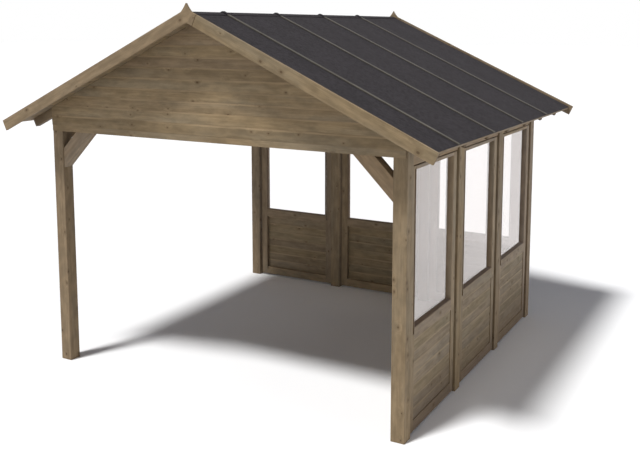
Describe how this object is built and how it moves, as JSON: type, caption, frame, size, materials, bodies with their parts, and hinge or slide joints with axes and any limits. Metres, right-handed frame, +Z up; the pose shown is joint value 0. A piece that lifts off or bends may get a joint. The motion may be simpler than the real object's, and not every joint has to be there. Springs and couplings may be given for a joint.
{
  "type": "garden gazebo",
  "caption": "Timber garden gazebo: gable roof in felt with battens and finials on square posts, open at the front and left, half-glazed panels on the right and at the back.",
  "frame": {"origin": "on the ground, under the middle of the roof", "axes": "+Z up, +X to the right when facing the open gable front, +Y from the front to the back; the ridge runs along Y"},
  "size_m": [3.652, 3.415, 2.8682],
  "materials": {
    "post_timber": "pressure-treated planed softwood",
    "frame_timber": "pressure-treated planed softwood",
    "roof_timber": "pressure-treated planed softwood",
    "roof_felt": "fine mineral grit on bitumen felt",
    "batten_timber": "pressure-treated planed softwood",
    "barge_timber": "pressure-treated planed softwood",
    "cladding_timber": "pressure-treated planed softwood",
    "panel_timber": "pressure-treated planed softwood",
    "boarding_timber": "pressure-treated planed softwood",
    "bead_timber": "stained planed softwood",
    "window_glass": "clear float glass"
  },
  "bodies": {
    "root": {"front_left_post": "post_timber", "front_right_post": "post_timber", "back_left_post": "post_timber", "back_right_post": "post_timber", "right_middle_post_1": "post_timber", "right_middle_post_2": "post_timber", "back_middle_post_1": "post_timber", "back_middle_post_2": "post_timber", "left_eaves_beam": "frame_timber", "right_eaves_beams": "frame_timber", "front_beam": "frame_timber", "back_beam": "frame_timber", "back_head_rails": "frame_timber", "front_left_brace": "frame_timber", "front_right_brace": "frame_timber", "left_rafters": "roof_timber", "right_rafters": "roof_timber", "ridge_board": "roof_timber", "left_roof_deck": "roof_timber", "right_roof_deck": "roof_timber", "left_roof_felt": "roof_felt", "right_roof_felt": "roof_felt", "ridge_felt_strip": "roof_felt", "left_roof_battens": "batten_timber", "right_roof_battens": "batten_timber", "front_left_barge_board": "barge_timber", "front_right_barge_board": "barge_timber", "back_left_barge_board": "barge_timber", "back_right_barge_board": "barge_timber", "front_gable_cladding": "cladding_timber", "back_gable_cladding": "cladding_timber", "front_gable_base_board": "cladding_timber", "back_gable_base_board": "cladding_timber", "right_panel_stiles": "panel_timber", "right_panel_rails": "panel_timber", "back_panel_stiles": "panel_timber", "back_panel_rails": "panel_timber", "right_panel_boarding": "boarding_timber", "back_panel_boarding": "boarding_timber", "right_glazing_beads": "bead_timber", "back_glazing_beads": "bead_timber", "right_window_glass": "window_glass", "back_window_glass": "window_glass"}
  },
  "joints": []
}
